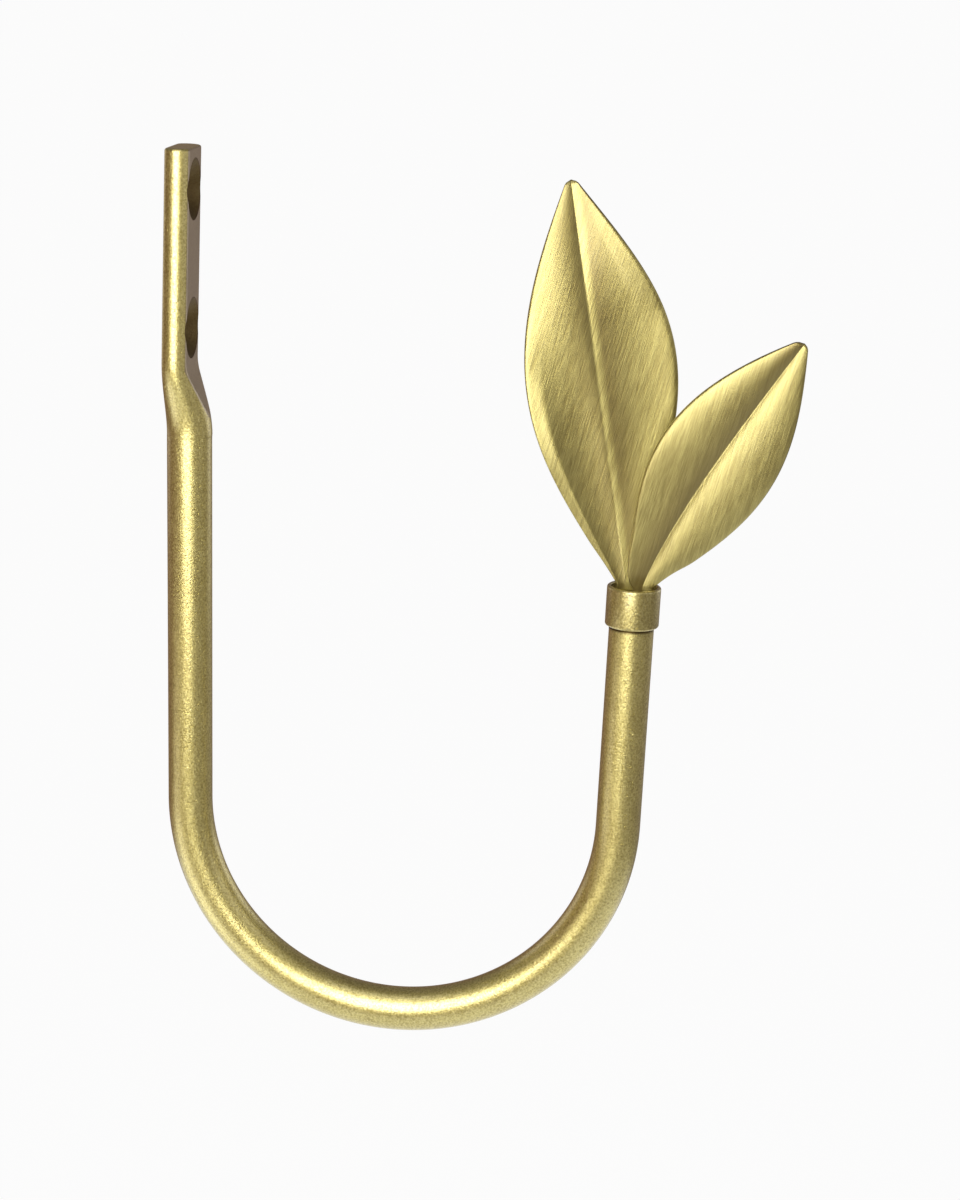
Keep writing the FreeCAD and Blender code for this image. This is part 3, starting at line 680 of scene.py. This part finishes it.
@dataclass
class Rod(Piece):
    """The bent rod with its forged flat end, two screw holes and a rounded upper edge."""

    sizes: HookSizes
    around: int = 128
    edge_round: float = 0.55
    die_round: float = 0.16
    inset: float = 0.03
    sharp_angle: float = 40.0
    edge_rings: int = 9
    flat_rings: int = 56
    ramp_rings: int = 110
    set_rings: int = 8
    arm_rings: int = 40
    bend_rings: int = 170
    drill_around: int = 96
    drill_reach: float = 2.0

    def _pad_heights(self) -> Array:
        """Space the rings of the flat end, as a quarter circle at its edge and then evenly.

        Returns:
            Their heights, from the pad's upper end down to the neck.
        """
        size = self.sizes
        quarter = np.linspace(0.0, math.pi / 2, self.edge_rings)
        rounded = size.top - size.pad_edge_round * (1.0 - np.cos(quarter))
        flat = np.linspace(rounded[-1], size.shoulder, self.flat_rings)[1:]
        ramp = np.linspace(size.shoulder, size.neck, self.ramp_rings)[1:]
        return np.concatenate((rounded, flat, ramp))

    def _die_face(self, height: Array) -> Array:
        """Work out the pad's pressed front: flat to the shoulder, then its arc and a straight ramp.

        Args:
            height: The heights of the rings.

        Returns:
            How far the front stands from the wall.
        """
        size = self.sizes
        ramp = math.radians(size.ramp_angle)
        below = np.clip(size.shoulder - height, 0.0, None)
        on_arc = np.minimum(below, size.shoulder_radius * math.sin(ramp))
        arc = size.shoulder_radius - np.sqrt(size.shoulder_radius ** 2 - on_arc ** 2)
        return size.pad_thickness + arc + (below - on_arc) * math.tan(ramp)

    def _pad_rings(self) -> Array:
        """Shape the flat end.

        Each ring is an ellipse that blends from the rod's circle to the wide blank, with its back shaved off
        at the wall and its front at the die's face. At the upper end the rings shrink along a quarter circle.

        Returns:
            The rings from the upper end down to the neck.
        """
        size = self.sizes
        height = self._pad_heights()[:, None]
        blend = smooth_step((height - size.neck) / size.neck_length)
        flat_share = size.pad_flat_width / 2 / size.pad_half_width
        blank_depth = size.pad_thickness / 2 / math.sqrt(1.0 - flat_share ** 2)
        centre = size.axis_x + (size.pad_thickness / 2 - size.axis_x) * blend
        depth = size.rod_radius + (blank_depth - size.rod_radius) * blend
        width = size.rod_radius + (size.pad_half_width - size.rod_radius) * blend
        turn = full_turn(self.around)
        x = centre + depth * np.cos(turn)
        y = width * np.sin(turn)
        x = soft_min(x, np.broadcast_to(self._die_face(height), x.shape), self.die_round)
        x = soft_max(x, np.zeros_like(x), self.edge_round)
        rise = np.clip(height - (size.top - size.pad_edge_round), 0.0, None) / size.pad_edge_round
        inset = size.pad_edge_round * (1.0 - np.sqrt(np.clip(1.0 - rise ** 2, 0.0, None)))
        middle = size.pad_thickness / 2
        x = middle + (x - middle) * (1.0 - inset / middle)
        y = y * (1.0 - inset / size.pad_half_width)
        return np.stack((x, y, np.broadcast_to(height, x.shape)), axis=-1)

    def _path(self) -> tuple[Array, Array]:
        """Lay out the round rod: a slight set below the neck, the back arm, the bend and the front arm.

        Returns:
            The axis and the direction to the hook's inside, both as (x, z).
        """
        size = self.sizes
        set_turn = np.linspace(0.0, size.back_lean, self.set_rings)[1:]
        set_axis = np.stack((size.axis_x + size.set_radius * (1.0 - np.cos(set_turn)),
                             size.neck - size.set_radius * np.sin(set_turn)), axis=-1)
        set_inward = np.stack((np.cos(set_turn), np.sin(set_turn)), axis=-1)
        centre = np.array(size.bend_centre)
        turn = np.linspace(math.pi + size.back_lean, 2.0 * math.pi - size.front_lean, self.bend_rings)
        spoke = np.stack((np.cos(turn), np.sin(turn)), axis=-1)
        bend = centre + size.bend_radius * spoke
        share = np.linspace(0.0, 1.0, self.arm_rings)[1:-1, None]
        arm = set_axis[-1] + (bend[0] - set_axis[-1]) * share
        front_length = size.front_arm_length + size.socket_depth
        reach = np.linspace(0.0, front_length, self.arm_rings)[1:, None]
        front = bend[-1] + reach * size.arm_up[[0, 2]]
        axis = np.concatenate((set_axis, arm, bend, front))
        inward = np.concatenate((set_inward, np.repeat(-spoke[:1], len(arm), axis=0), -spoke,
                                 np.repeat(-spoke[-1:], len(front), axis=0)))
        return axis, inward

    def _rod_rings(self) -> Array:
        """Carry a circle along the path, each time in the plane of the inward direction and Y.

        The circles are a hair smaller than the rod, so that they stay inside the facets of its solid.

        Returns:
            The rings from the neck to the front arm's end.
        """
        axis, inward = self._path()
        turn = full_turn(self.around)
        radius = self.sizes.rod_radius - self.inset
        x = axis[:, :1] + radius * np.cos(turn) * inward[:, :1]
        z = axis[:, 1:] + radius * np.cos(turn) * inward[:, 1:]
        y = np.broadcast_to(radius * np.sin(turn), x.shape)
        return np.stack((x, y, z), axis=-1)

    def _drill(self, height: float) -> bpy.types.Object:
        """Shape one screw hole: a bore that opens into a cone at the pad's front.

        Args:
            height: The hole's height.

        Returns:
            The drill, a surface of revolution about X.
        """
        size = self.sizes
        bore, cone = size.screw_hole_diameter / 2, size.countersink_diameter / 2
        front, reach = size.pad_thickness, self.drill_reach
        along = np.array((-reach, front - (cone - bore), front + reach))[:, None]
        radius = np.array((bore, bore, cone + reach))[:, None]
        turn = full_turn(self.drill_around)
        y, z = radius * np.cos(turn), height + radius * np.sin(turn)
        return TubeMesh("screw_drill", np.stack((np.broadcast_to(along, y.shape), y, z), axis=-1)).build()

    def build(self) -> bpy.types.Object:
        """Join the flat end and the round rod, and drill the screw holes.

        Returns:
            The rod, with its creases sharp and the rest smooth.
        """
        rod = TubeMesh("bent_rod", np.concatenate((self._pad_rings(), self._rod_rings()))).build()
        for height in (self.sizes.screw_spacing / 2, -self.sizes.screw_spacing / 2):
            drill = self._drill(height)
            cut = rod.modifiers.new("screw_hole", "BOOLEAN")
            cut.operation = "DIFFERENCE"
            cut.solver = "EXACT"
            cut.object = drill
            graph = bpy.context.evaluated_depsgraph_get()
            drilled = bpy.data.meshes.new_from_object(rod.evaluated_get(graph))
            rod.modifiers.clear()
            rod.data = drilled
            bpy.data.objects.remove(drill)
        rod.data.polygons.foreach_set("use_smooth", np.ones(len(rod.data.polygons), dtype=bool))
        rod.data.set_sharp_from_angle(angle=math.radians(self.sharp_angle))
        return rod


@dataclass
class Collar(Piece):
    """The turned collar on the front arm: a socket for the rod, a web and a shallow cup for the stems."""

    sizes: HookSizes
    around: int = 128
    rim_round: float = 0.4
    lip_round: float = 0.22
    near_axis: float = 0.05
    corner_points: int = 10
    sharp_angle: float = 50.0

    def _rounded(self, corner: Pair, before: Pair, after: Pair, radius: float) -> Array:
        """Round a square corner of the profile by a quarter circle.

        Args:
            corner: The corner, as (radius, height).
            before: The direction from the corner back to the point before it.
            after: The direction on to the point after it.
            radius: The radius of the rounding.

        Returns:
            Points on the quarter circle.
        """
        turn = np.linspace(0.0, math.pi / 2, self.corner_points)[:, None]
        back, on = np.array(before), np.array(after)
        centre = np.array(corner) + radius * (back + on)
        return centre - radius * (np.cos(turn) * on + np.sin(turn) * back)

    def _profile(self) -> Array:
        """Draw the collar's half section, with its foot as round as the wall beside the socket's lip allows.

        Returns:
            Points as (radius, height), from the socket's roof round the outside to the cup's floor.
        """
        size = self.sizes
        bore, outer = size.bore_radius, size.bore_radius + size.collar_wall
        rim, floor = size.collar_length, size.socket_depth + size.collar_web
        foot_round = size.collar_wall - self.lip_round
        inward, outward, up, down = (-1.0, 0.0), (1.0, 0.0), (0.0, 1.0), (0.0, -1.0)
        return np.concatenate((
            np.array(((self.near_axis, size.socket_depth), (bore, size.socket_depth))),
            self._rounded((bore, 0.0), up, outward, self.lip_round),
            self._rounded((outer, 0.0), inward, up, foot_round),
            self._rounded((outer, rim), down, inward, min(self.rim_round, foot_round)),
            self._rounded((bore, rim), outward, down, self.lip_round),
            np.array(((bore, floor), (self.near_axis, floor))),
        ))

    def build(self) -> bpy.types.Object:
        """Turn the profile about the arm's axis.

        Returns:
            The collar.
        """
        size = self.sizes
        profile = self._profile()
        turn = full_turn(self.around)[:, :, None]
        radius, height = profile[:, None, :1], profile[:, None, 1:]
        rings = (size.collar_foot + height * size.arm_up
                 + radius * (np.cos(turn) * size.arm_across + np.sin(turn) * DEPTHWISE))
        collar = TubeMesh("turned_collar", rings).build()
        collar.data.set_sharp_from_angle(angle=math.radians(self.sharp_angle))
        return collar


@dataclass(frozen=True)
class LeafHalf:
    """One half of a leaf: its outline, and how far it bulges forward and its margin drops back.

    The width is (sin(pi t^skew))^sharpness of the largest. Bulge and drop are given at the base and at the
    tip, and turn from one to the other between two places along the midrib. A lip folds the margin back,
    or forward where it is negative, also between two places.
    """

    width: float
    skew: float
    sharpness: float
    bulge: Pair
    drop: Pair
    turn_from: float = 0.15
    turn_to: float = 0.65
    lip: float = 0.0
    lip_from: float = 0.0
    lip_to: float = 1.0
    lip_width: float = 0.3

    def shape(self, share: Array, out: Array) -> Array:
        """Work out the depth of the half behind its crease.

        With b and d eased from base to tip it is d v^2 - 4 b v (1 - v) + lip, where v runs from the crease
        to the margin. The lip eases in over its width and swells as a sine between its two ends.

        Args:
            share: Places along the midrib, from 0 to 1.
            out: Places across the half, from 0 at the crease to 1 at the margin.

        Returns:
            The depth in millimetres for a half at its largest width.
        """
        ease = smooth_step((share - self.turn_from) / (self.turn_to - self.turn_from))
        bulge = self.bulge[0] + (self.bulge[1] - self.bulge[0]) * ease
        drop = self.drop[0] + (self.drop[1] - self.drop[0]) * ease
        window = np.clip((share - self.lip_from) / (self.lip_to - self.lip_from), 0.0, 1.0)
        fold = smooth_step((out - 1.0 + self.lip_width) / self.lip_width)
        lip = self.lip * np.sin(math.pi * window) * fold
        return drop * out ** 2 - 4.0 * bulge * out * (1.0 - out) + lip


@dataclass
class Leaf(Piece):
    """A pressed leaf: a creased sheet with two pillowed halves on a stem that stands in the collar's cup."""

    CREASE_SHADE: ClassVar[str] = "crease_shade"

    sizes: HookSizes
    name: str
    cup_side: Side
    length: float
    lean: float
    left: LeafHalf
    right: LeafHalf
    stem_half: float
    start_depth: float
    tilt: float
    rib_bow: float = 0.0
    rib_bow_skew: float = 1.0
    tip_curl: float = 0.0
    yaw: float = 0.0
    crease_shade_share: Pair = (0.5, 0.5)
    crease_shade_reach: float = 3.2
    crease_shade_start: float = 1.1
    crease_shade_delay: float = 0.6
    tip_round: float = 0.8
    thickness: float = 1.0
    groove: float = 0.3
    groove_reach: float = 0.8
    groove_swell: float = 2.0
    crowding: float = 0.08
    stem_fade: int = 5
    margin_power: int = 30
    curl_power: int = 3
    yaw_ease: float = 0.4
    settle_length: float = 9.0
    seat_gap: float = 0.02
    stem_rings: int = 6
    stations: int = 200
    around: int = 288

    def _along(self) -> Array:
        """Return the places along the midrib, a little closer together in its middle."""
        even = np.linspace(0.0, 1.0, self.stations)
        return self.length * (even + self.crowding * np.sin(2.0 * math.pi * even) / (2.0 * math.pi))

    def _half_width(self, half: LeafHalf, share: Array) -> Array:
        """Work out a half's width: its outline's, plus the stem's, which fades out, closed by a round tip.

        Args:
            half: The half.
            share: Places along the midrib, from 0 to 1.

        Returns:
            The width in millimetres at each place.
        """
        blunt = 1.0 - self.tip_round / (math.pi * half.width)
        swell = np.sin(math.pi * np.clip(share * blunt, 0.0, 1.0) ** half.skew).clip(0.0)
        beyond = np.clip((share - 1.0) * self.length / self.tip_round + 1.0, 0.0, 1.0)
        width = half.width * swell ** half.sharpness + self.stem_half * (1.0 - share) ** self.stem_fade
        return width * np.sqrt(1.0 - beyond ** 2)

    def _crease_shade_shares(self, rows: int) -> Array:
        """Work out how much painted shade each point gets, by its distance x from the crease.

        It is the side's share of e^(-(x / reach)^2), and on the right it begins past the crease's light wall.

        Args:
            rows: How many rows of points there are, the stem's with the blade's.

        Returns:
            The shares, shaped as the rings of the mesh.
        """
        share = np.linspace(0.0, 1.0, rows)[:, None]
        place = np.cos(full_turn(self.around))
        left, right = (self._half_width(half, share) for half in (self.left, self.right))
        from_crease = np.abs(place) * np.where(place >= 0.0, right, left)
        fall = np.exp(-(from_crease / self.crease_shade_reach) ** 2)
        past_wall = smooth_step(from_crease / self.crease_shade_start - self.crease_shade_delay)
        return fall * np.where(place >= 0.0, self.crease_shade_share[1] * past_wall, self.crease_shade_share[0])

    def _sheet(self) -> Array:
        """Press the leaf's closed surface in its own frame.

        A ring runs round the sheet by an angle a. Its place across is v = cos a, from -1 at the left margin
        over the crease at 0 to 1 at the right margin. The sheet's middle lies at the depth of its half plus
        groove e^(-x / reach), and each face half a thickness off it, which falls to nothing at the margins
        as the root of 1 - |v|^n. Tilt, yaw and a curl of the tip are added to the depth.

        Returns:
            Points as (across, towards the back, along the midrib).
        """
        along = self._along()[:, None]
        share = along / self.length
        turn = full_turn(self.around)
        place = np.cos(turn)
        on_right = place >= 0.0
        out = np.abs(place)
        left, right = (self._half_width(half, share) for half in (self.left, self.right))
        half = np.where(on_right, right, left)
        rib = self.rib_bow * np.sin(math.pi * share ** self.rib_bow_skew)
        across = rib + place * half
        size_share = half / np.where(on_right, self.right.width, self.left.width)
        pressed = np.where(on_right, self.right.shape(share, out), self.left.shape(share, out)) * size_share
        groove = self.groove * np.minimum(size_share * self.groove_swell, 1.0)
        crease = groove * np.exp(-out * half / self.groove_reach)
        middle = (self.start_depth - along * math.tan(math.radians(self.tilt))
                  + place * half * math.tan(math.radians(self.yaw)) * smooth_step(share / self.yaw_ease)
                  + self.tip_curl * share ** self.curl_power + pressed + crease)
        near_tip = np.clip((along - self.length + self.thickness) / self.thickness, 0.0, 1.0)
        at_margin = np.sqrt(np.clip(1.0 - out ** self.margin_power, 0.0, None))
        body = self.thickness / 2 * at_margin * np.sqrt(1.0 - near_tip ** 2)
        depth = middle - np.sign(np.sin(turn)) * body
        settle = 1.0 - smooth_step(along / self.settle_length)
        height = along + across * math.tan(math.radians(self.lean)) * settle
        return np.stack((across, depth, height), axis=-1)

    def build(self) -> bpy.types.Object:
        """Set the pressed sheet in the cup on its own side and carry its foot down as a stem.

        Returns:
            The leaf.
        """
        size = self.sizes
        angle = size.front_lean + math.radians(self.lean)
        up = np.array((math.sin(angle), 0.0, math.cos(angle)))
        sideways = np.array((math.cos(angle), 0.0, -math.sin(angle)))
        base = (size.collar_foot + size.collar_length * size.arm_up
                + self.cup_side.value * size.stem_offset * size.arm_across)
        sheet = self._sheet()
        blade = base + sheet[..., :1] * sideways + sheet[..., 1:2] * DEPTHWISE + sheet[..., 2:] * up
        sink = np.linspace(size.cup_depth - self.seat_gap, 0.0, self.stem_rings)[:-1, None, None]
        stem = blade[:1] - sink * size.arm_up
        rings = np.concatenate((stem, blade))
        leaf = TubeMesh(self.name, rings).build()
        # painted shade beside the crease, stored on the points
        crease_shade = np.append(self._crease_shade_shares(len(rings)).ravel(), (0.0, 0.0))
        leaf.data.attributes.new(self.CREASE_SHADE, "FLOAT", "POINT").data.foreach_set("value", crease_shade)
        return leaf


@dataclass(frozen=True)
class Softbox:
    """A rectangular area lamp that looks at a point."""

    name: str
    place: Triple
    target: Triple
    width: float
    height: float
    power: float

    def build(self) -> None:
        """Add the lamp to the scene."""
        lamp = bpy.data.lights.new(self.name, "AREA")
        lamp.shape = "RECTANGLE"
        lamp.size, lamp.size_y = self.width, self.height
        lamp.energy = self.power
        holder = link(self.name, lamp)
        holder.location = self.place
        direction = Vector(self.target) - Vector(self.place)
        holder.rotation_euler = direction.to_track_quat("-Z", "Y").to_euler()
        holder.visible_camera = False


@dataclass
class Studio:
    """The pale floor, the soft lamps, the plain surroundings and the camera."""

    floor_drop: float = 0.42
    floor_half: float = 30.0
    floor_grey: float = 0.9
    floor_glow: float = 0.96
    world_white: float = 0.97
    surroundings: Triple = (0.19, 0.17, 0.155)
    tent_radius: float = 0.85
    tent_top: float = 0.9
    tent_eye: float = 0.001
    tent_around: int = 96
    tent_left: Triple = (0.2, 0.115, 0.085)
    tent_right: Triple = (0.24, 0.21, 0.19)
    tent_sides: Pair = (-0.5, 0.5)
    tent_eaves: Pair = (0.2, 0.35)
    camera_place: Triple = (0.101522, -0.466251, 0.060569)
    camera_yaw: float = -5.4903
    camera_pitch: float = -14.135
    camera_roll: float = 2.4806
    camera_lens: float = 82.145
    camera_sensor: float = 36.0
    camera_clip: Pair = (0.01, 200.0)
    lamps: tuple[Softbox, ...] = field(default_factory=lambda: (
        Softbox("key_softbox", (0.0, -0.34, 0.03), (0.05, 0.0, -0.06), 0.29, 0.32, 1.65),
        Softbox("fill_softbox", (0.6, -0.2, 0.15), (0.05, 0.0, -0.04), 0.4, 0.5, 0.4),
        Softbox("low_softbox", (-0.32, -0.16, -0.36), (0.05, 0.0, -0.1), 0.3, 0.3, 0.3),
        Softbox("back_softbox", (-0.65, 0.35, 0.05), (0.05, 0.0, -0.05), 0.4, 0.5, 0.4),
        Softbox("rear_softbox", (0.6, 0.5, 0.0), (0.07, 0.0, -0.05), 0.4, 0.4, 0.5),
        Softbox("high_softbox", (0.0, -0.3, 0.6), (0.05, 0.0, -0.04), 0.6, 0.4, 0.8),
    ))

    @staticmethod
    def _seen(sheet: ShaderSheet) -> Wire:
        """Return 1 where the camera or a reflection looks, and 0 for all other light."""
        path = sheet.node("ShaderNodeLightPath")
        return sheet.math("MAXIMUM", sheet.out(path, "Is Camera Ray"), sheet.out(path, "Is Glossy Ray"))

    def _floor_material(self) -> bpy.types.Material:
        """Make a floor that the camera and reflections see as almost plain white, with a trace of shadow.

        Returns:
            The floor's material.
        """
        material, sheet = new_material("pale_floor")
        grey = (self.floor_grey, self.floor_grey, self.floor_grey, 1.0)
        plain = sheet.node("ShaderNodeBsdfDiffuse", None, {"Color": grey})
        glow = sheet.node("ShaderNodeEmission", None, {"Color": WHITE, "Strength": 1.0})
        mixed = sheet.node("ShaderNodeMixShader", None,
                           {0: self.floor_glow * self._seen(sheet), 1: sheet.out(plain), 2: sheet.out(glow)})
        sheet.finish(mixed)
        return material

    def _build_floor(self, lowest: float) -> None:
        """Lay the floor, one square.

        Args:
            lowest: The height of the object's lowest point.
        """
        half, level = self.floor_half, lowest - self.floor_drop
        corners = [(-half, -half, level), (half, -half, level), (half, half, level), (-half, half, level)]
        mesh = bpy.data.meshes.new("floor")
        mesh.from_pydata(corners, [], [(0, 1, 2, 3)])
        mesh.materials.append(self._floor_material())
        floor = link("floor", mesh)
        floor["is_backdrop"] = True

    def _tent_material(self) -> bpy.types.Material:
        """Dye the tent's dim cloth: brown on the left, taupe on the right and as the surroundings overhead.

        Returns:
            The tent's material.
        """
        material, sheet = new_material("dim_tent")
        where = sheet.node("ShaderNodeSeparateXYZ", None,
                           {0: sheet.out(sheet.node("ShaderNodeTexCoord"), "Object")})
        sideways = sheet.ramp(sheet.out(where, "X"), *self.tent_sides)
        wall = sheet.mix(sideways, self.tent_left, self.tent_right)
        overhead = sheet.ramp(sheet.out(where, "Z"), *self.tent_eaves)
        colour = sheet.mix(overhead, wall, self.surroundings)
        sheet.finish(sheet.node("ShaderNodeEmission", None, {"Color": colour, "Strength": 1.0}))
        return material

    def _build_tent(self, lowest: float) -> None:
        """Put a dim round tent about the set, which only reflections see, so that the metal has dark edges.

        Its wall is a cylinder and its roof a flat lid, closed but for a tiny eye.

        Args:
            lowest: The height of the object's lowest point.
        """
        turn = full_turn(self.tent_around)
        heights = np.array((lowest - self.floor_drop, self.tent_top, self.tent_top))[:, None]
        radius = np.array((self.tent_radius, self.tent_radius, self.tent_eye))[:, None]
        x, y = radius * np.cos(turn), radius * np.sin(turn)
        points = np.stack((x, y, np.broadcast_to(heights, x.shape)), axis=-1).reshape(-1, 3)
        faces = ring_quads(np.arange(len(points)).reshape(x.shape))
        mesh = bpy.data.meshes.new("tent")
        mesh.from_pydata(points.tolist(), [], faces.tolist())
        mesh.materials.append(self._tent_material())
        tent = link("tent", mesh)
        tent.visible_camera = False
        tent.visible_diffuse = False
        tent.visible_shadow = False
        tent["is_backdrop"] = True

    def _build_world(self) -> None:
        """Fill the surroundings with one plain warm grey, which the camera and mirrors see as white."""
        world = bpy.data.worlds.new("studio")
        world.use_nodes = True
        sheet = ShaderSheet(world.node_tree)
        grey = sheet.node("ShaderNodeBackground", None, {"Color": (*self.surroundings, 1.0), "Strength": 1.0})
        white = sheet.node("ShaderNodeBackground", None, {"Color": WHITE, "Strength": self.world_white})
        mixed = sheet.node("ShaderNodeMixShader", None,
                           {0: self._seen(sheet), 1: sheet.out(grey), 2: sheet.out(white)})
        sheet.finish(mixed, "ShaderNodeOutputWorld")
        bpy.context.scene.world = world

    def _build_camera(self) -> None:
        """Set the camera by its place and by its turns to the side, down and about its own axis."""
        yaw, pitch, roll = (math.radians(angle) for angle in
                            (self.camera_yaw, self.camera_pitch, self.camera_roll))
        forward = Vector((math.sin(yaw) * math.cos(pitch), math.cos(yaw) * math.cos(pitch), math.sin(pitch)))
        level = Vector((math.cos(yaw), -math.sin(yaw), 0.0))
        upright = level.cross(forward)
        right = level * math.cos(roll) + upright * math.sin(roll)
        up = upright * math.cos(roll) - level * math.sin(roll)
        data = bpy.data.cameras.new("camera")
        data.sensor_fit = "AUTO"
        data.sensor_width = self.camera_sensor
        data.lens = self.camera_lens
        data.clip_start, data.clip_end = self.camera_clip
        camera = link("camera", data)
        turn = Matrix((right, up, -forward)).transposed().to_4x4()
        camera.matrix_world = Matrix.Translation(Vector(self.camera_place)) @ turn
        bpy.context.scene.camera = camera

    def build(self, lowest: float) -> None:
        """Set up everything around the object.

        Args:
            lowest: The height of the object's lowest point.
        """
        bpy.context.scene.view_settings.view_transform = "Standard"
        self._build_world()
        self._build_floor(lowest)
        self._build_tent(lowest)
        for lamp in self.lamps:
            lamp.build()
        self._build_camera()


@dataclass
class Holdback:
    """The whole curtain holdback."""

    sizes: HookSizes = field(default_factory=HookSizes)
    satin: SatinGold = SatinGold()
    # A darker copy of the satin lacquer for the collar, which paints shade on it.
    turned: SatinGold = SatinGold(
        name="shaded_satin_gold_lacquer", pale=(0.56, 0.48, 0.165), deep=(0.36, 0.29, 0.078))
    brushed: BrushedGold = BrushedGold()

    def _leaves(self) -> tuple[tuple[Leaf, str], ...]:
        """Give both leaves their sizes.

        Returns:
            Each leaf with the node that it stands for.
        """
        large = Leaf(
            sizes=self.sizes, name="large_pressed_leaf", cup_side=Side.LEFT, length=70.9, lean=-11.4,
            left=LeafHalf(
                width=12.2, skew=1.0, sharpness=1.0, bulge=(0.0, 0.8), drop=(-3.4, -1.2),
                turn_from=0.3, turn_to=0.75, lip=1.2, lip_from=-0.1, lip_to=0.58, lip_width=0.26,
            ),
            right=LeafHalf(
                width=13.8, skew=1.1, sharpness=1.05, bulge=(-0.9, 0.4), drop=(1.9, -0.5),
                turn_from=0.62, turn_to=0.95, lip=-0.6, lip_from=0.66, lip_to=1.05, lip_width=0.45,
            ),
            stem_half=1.6, start_depth=1.25, tilt=0.5, tip_curl=2.3, yaw=5.0,
            crease_shade_share=(0.45, 0.8), crease_shade_reach=4.4, groove=0.17,
        )
        small = Leaf(
            sizes=self.sizes, name="small_pressed_leaf", cup_side=Side.RIGHT, length=51.5, lean=28.4,
            left=LeafHalf(width=10.3, skew=1.0, sharpness=0.9, bulge=(0.4, 0.8), drop=(-1.6, -1.0)),
            right=LeafHalf(width=10.3, skew=0.96, sharpness=1.0, bulge=(0.5, 0.5), drop=(0.5, 0.5)),
            stem_half=1.6, start_depth=-0.8, tilt=4.6, rib_bow=-1.5, rib_bow_skew=0.72, crease_shade_share=(0.7, 0.0),
        )
        return (large, "large_leaf"), (small, "small_leaf")

    def build(self) -> None:
        """Build and dress every piece."""
        rod, collar = Rod(self.sizes), Collar(self.sizes)
        rod.dress(rod.build(), self.satin.material(), "hook_rod", Slot.SATIN)
        collar.dress(collar.build(), self.turned.material(), "collar", Slot.SATIN)
        brushed = self.brushed.material()
        for leaf, node in self._leaves():
            leaf.dress(leaf.build(), brushed, node, Slot.BRUSHED)


def main() -> None:
    """Load the frame, then build the holdback and its studio below the frame's lowest point."""
    logging.basicConfig(level=logging.INFO, format="%(name)s: %(message)s")
    for thing in list(bpy.data.objects):
        bpy.data.objects.remove(thing)
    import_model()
    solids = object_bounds()
    Holdback().build()
    Studio().build(solids[0].z)
    bpy.context.view_layer.update()


if __name__ == "__main__":
    main()
